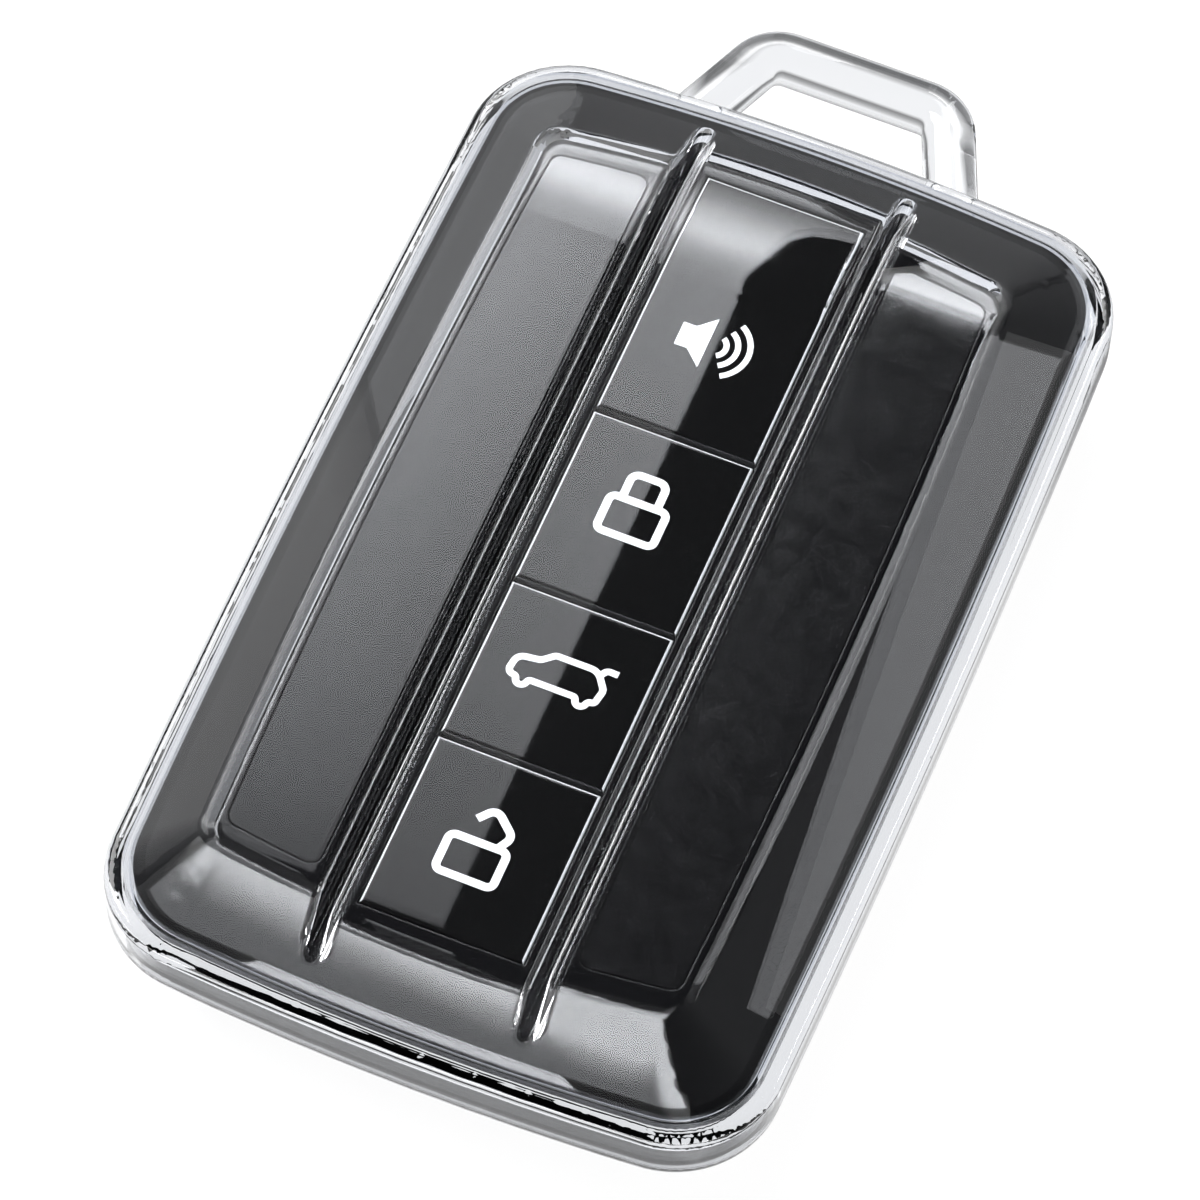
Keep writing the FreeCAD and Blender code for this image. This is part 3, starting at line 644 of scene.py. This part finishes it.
sky_level = 0.463
sky_reach = 1.2
sky_front = 0.176
sky_arm = 0.395
sky_slot = [(-0.1044, sky_front), (-0.1044, 0.3), (-0.0972, 0.3), (-0.0972, sky_front)]
sky_edge = [(-0.085, sky_front), (-0.085, 0.29), (-0.088, 0.32), (-0.093, 0.396), (-0.0985, 0.47)]
sky_notch = [(-0.1, 0.51), (-0.098, 0.532), (-0.094, 0.54), (-0.079, 0.54), (-0.079, sky_arm)]
sky_right = [(sky_reach, sky_arm), (sky_reach, sky_reach)]
sky_left = [(-sky_reach, sky_reach), (-sky_reach, sky_front)]
sky_stops = [
    (0.17, 1.03), (0.27, 3.1), (0.29, 3.6), (0.32, 4.1), (0.355, 5.9),
    (0.4, 9.6), (0.45, 7.8), (0.505, 4.5), (0.57, 1.9), (0.65, 0.7),
]
sky_outline = sky_slot + sky_edge + sky_notch + sky_right + sky_left
sky_plan = [(x, y, sky_level) for x, y in sky_outline]
card("overhead_card", sky_plan, glow_along("overhead_glow", "Y", sky_stops))
edge_plan = lying(left=-sky_reach, right=-0.35, front=-0.2, back=0.5, level=0.45)
card("edge_card", edge_plan, glow_along("edge_glow", "Y", [(-0.2, 8.0), (0.5, 8.0)]))

# %% [markdown]
# Three small cards stand close by. The front one fades downwards, so the lower facet is light at
# its upper edge and grey below. That facet is bowed, so the fade is bowed too. It is low, so that
# the flat face doesn't mirror it when the key is seen from behind. The right one is lower still,
# and its top edge is the line along the right facet. The left one lies on the floor and lightens
# the far end of the left facet.

# %% Cards for the facets
front_y = -0.1
front_left, front_right = -0.2, 0.15
front_foot, front_top = 0.01, 0.038
front_stops = [(0.0205, 1.6), (0.0232, 1.9), (0.0245, 4.0), (0.0257, 7.8), (0.03, 8.5)]
front_plan = [
    (front_left, front_y, front_foot),
    (front_right, front_y, front_foot),
    (front_right, front_y, front_top),
    (front_left, front_y, front_top),
]
front_glow = glow_along("front_glow", "Z", front_stops, bow=6.8, bow_middle=-0.011, bow_limit=0.007)
card("front_card", front_plan, front_glow)

side_x = 0.05
side_front, side_back = -0.017, 0.047
side_front_top, side_back_top = 0.0155, 0.0195
side_plan = [
    (side_x, side_front, floor_level),
    (side_x, side_back, floor_level),
    (side_x, side_back, side_back_top),
    (side_x, side_front, side_front_top),
]
card("side_card", side_plan, glow_along("side_glow", "Y", [(-0.02, 1.4), (0.05, 1.8)]))

left_plan = lying(left=-0.12, right=-0.042, front=0.028, back=0.12, level=0)
card("left_card", left_plan, glow_along("left_glow", "Y", [(0.02, 0.6), (0.12, 0.6)]))

# %% [markdown]
# ## Lamps and world
# The cards are only for reflections. Two large soft lamps light what is white and matt, from above.
# The world is white to the camera and straight through the plastic. What is mirrored sees it grey
# at the horizon and dark overhead, so the right half of the face stays black. For light that the
# rim has let straight out, it is white above and below. A ray that meets the world counts one more
# there, so odd numbers are the unmirrored ones. The world isn't sampled as a lamp, because those
# samples would be counted differently.

# %% Soft lamps and world
def soft_lamp(name, place, size, power):
    lamp = bpy.data.lights.new(name, "AREA")
    lamp.shape = "DISK"
    lamp.size = size
    lamp.energy = power
    thing = bpy.data.objects.new(name, lamp)
    thing.location = place
    thing.rotation_euler = (-Vector(place)).to_track_quat("-Z", "Y").to_euler()
    thing.visible_glossy = False
    thing.visible_transmission = False
    bpy.context.scene.collection.objects.link(thing)
    print(name, power, "W")


soft_lamp("left_lamp", (-0.5, 0.3, 0.9), 0.7, 27)
soft_lamp("right_lamp", (0.6, -0.4, 0.9), 0.7, 15)

horizon_grey, zenith_grey = 0.18, 0.015
level_glow, steep_glow = 0.2, 1.1
world = bpy.data.worlds.new("studio")
bpy.context.scene.world = world
world.use_nodes = True
tree = world.node_tree
direction = tree.nodes.new("ShaderNodeTexCoord")
split = tree.nodes.new("ShaderNodeSeparateXYZ")
tree.links.new(direction.outputs["Generated"], split.inputs["Vector"])
dim = spread(tree, split.outputs["Z"], horizon_grey, zenith_grey, 0.05, 0.5)
path = tree.nodes.new("ShaderNodeLightPath").outputs
let_out = calc(tree, "COMPARE", path["Ray Depth"], rim_turns + 2, 0.5)
steepness = calc(tree, "ABSOLUTE", split.outputs["Z"])
steep = spread(tree, steepness, level_glow, steep_glow, 0.15, 0.45)
unmirrored = calc(tree, "MODULO", path["Ray Depth"], 2)
through = calc(tree, "MULTIPLY", unmirrored, path["Is Transmission Ray"])
strength = calc(tree, "MAXIMUM", dim, path["Is Camera Ray"])
strength = calc(tree, "MAXIMUM", strength, calc(tree, "MULTIPLY", let_out, steep))
strength = calc(tree, "MAXIMUM", strength, through)
tree.links.new(strength, tree.nodes["Background"].inputs["Strength"])
tree.nodes["Background"].inputs["Color"].default_value = (1, 1, 1, 1)
world.cycles.sampling_method = "NONE"
print("world nodes:", len(tree.nodes))

# %% [markdown]
# ## Camera
# The camera stands where the photograph was taken from. Its place, turn and lens were solved from
# the cover's outline and the lines of the face: a long lens, about half a metre away, 60 degrees
# above the floor. Light turns many times in clear plastic, so more bounces are allowed than usual.

# %% Camera at the photograph's angle
camera_data = bpy.data.cameras.new("camera")
camera_data.sensor_width = 36
camera_data.sensor_fit = "HORIZONTAL"
camera_data.lens = 216.08
camera_data.clip_start = 0.01
camera = bpy.data.objects.new("camera", camera_data)
bpy.context.scene.collection.objects.link(camera)
right = Vector((0.92547, 0.37797, 0.02544))
up = Vector((-0.34082, 0.80142, 0.4915))
turn = Matrix((right, up, right.cross(up))).transposed()
stand = Vector((84.89, -242.21, 462.88)) * mm
camera.matrix_world = Matrix.Translation(stand) @ turn.to_4x4()
bpy.context.scene.camera = camera
bpy.context.scene.view_settings.view_transform = "Standard"
light_turns = 32
bpy.context.scene.cycles.max_bounces = light_turns
bpy.context.scene.cycles.glossy_bounces = light_turns
bpy.context.scene.cycles.transmission_bounces = light_turns
print("camera stands", round(stand.length, 3), "m away")
